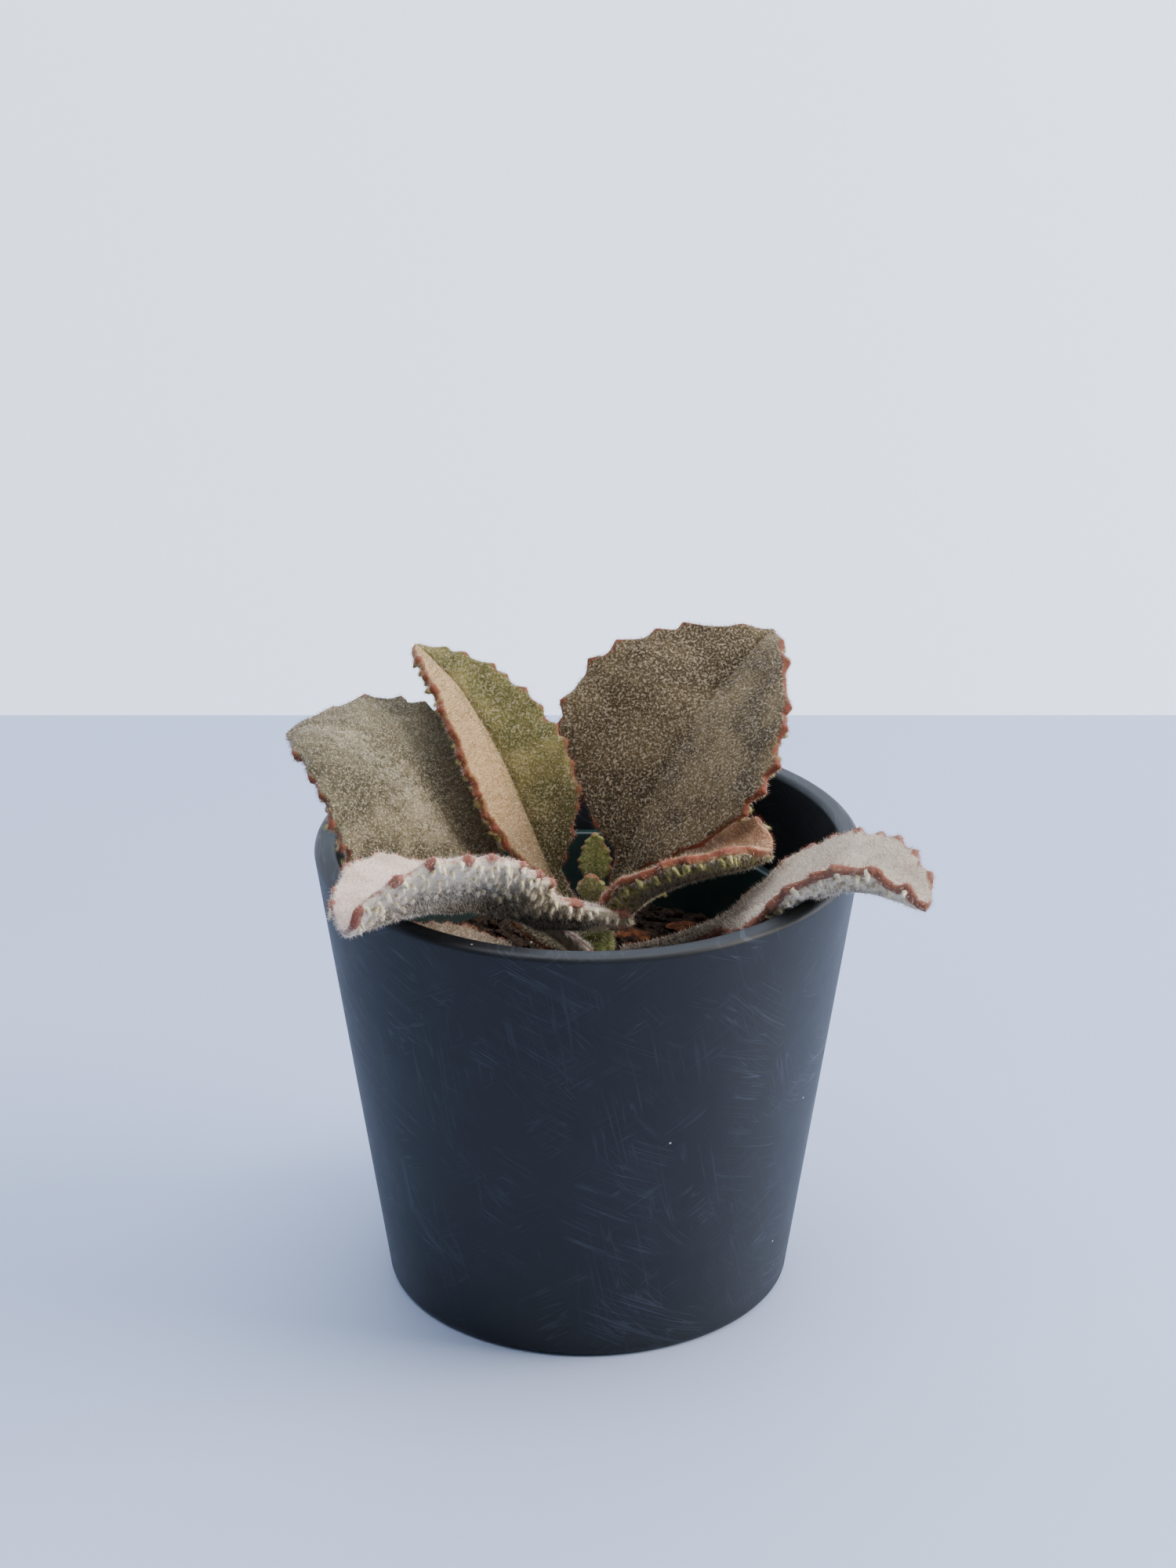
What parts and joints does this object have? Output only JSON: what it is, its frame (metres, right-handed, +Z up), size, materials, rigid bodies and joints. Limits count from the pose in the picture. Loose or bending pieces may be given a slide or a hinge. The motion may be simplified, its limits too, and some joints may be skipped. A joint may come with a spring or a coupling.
{
  "type": "potted kalanchoe",
  "caption": "Young felt-leaved kalanchoe with broad toothed leaves, growing in a thin nursery pot of soil that stands inside a dark, straight-sided, flaring matte cover pot.",
  "frame": {"origin": "middle of the cover pot's flat underside", "axes": "+Z up along the pot's axis of symmetry; -Y is the front, +X is to the right seen from the front"},
  "size_m": [0.1724, 0.1517, 0.1774],
  "materials": {
    "cover_plastic": "matte near-black slate plastic with fine scuffs",
    "nursery_plastic": "thin dark teal-green plastic",
    "soil": "dark, moist, crumbly potting soil",
    "stem_skin": "green plant skin under pale felt",
    "leaf_felt": "living leaf covered in short pale felt, rust-red at the teeth",
    "bark": "orange-brown bark chips"
  },
  "bodies": {
    "root": {"cover_pot": "cover_plastic", "nursery_pot": "nursery_plastic", "potting_soil": "soil", "stem": "stem_skin", "leaf_back_left": "leaf_felt", "leaf_upright": "leaf_felt", "leaf_back_right": "leaf_felt", "leaf_front_left": "leaf_felt", "leaf_inner_right": "leaf_felt", "leaf_front_right": "leaf_felt", "leaf_old_low": "leaf_felt", "bud_leaf_back": "leaf_felt", "bud_leaf_front": "leaf_felt", "bark_chip_1": "bark", "bark_chip_2": "bark", "bark_chip_3": "bark", "bark_chip_4": "bark", "bark_chip_5": "bark", "bark_chip_6": "bark", "bark_chip_7": "bark", "bark_chip_8": "bark", "bark_chip_9": "bark"}
  },
  "joints": []
}
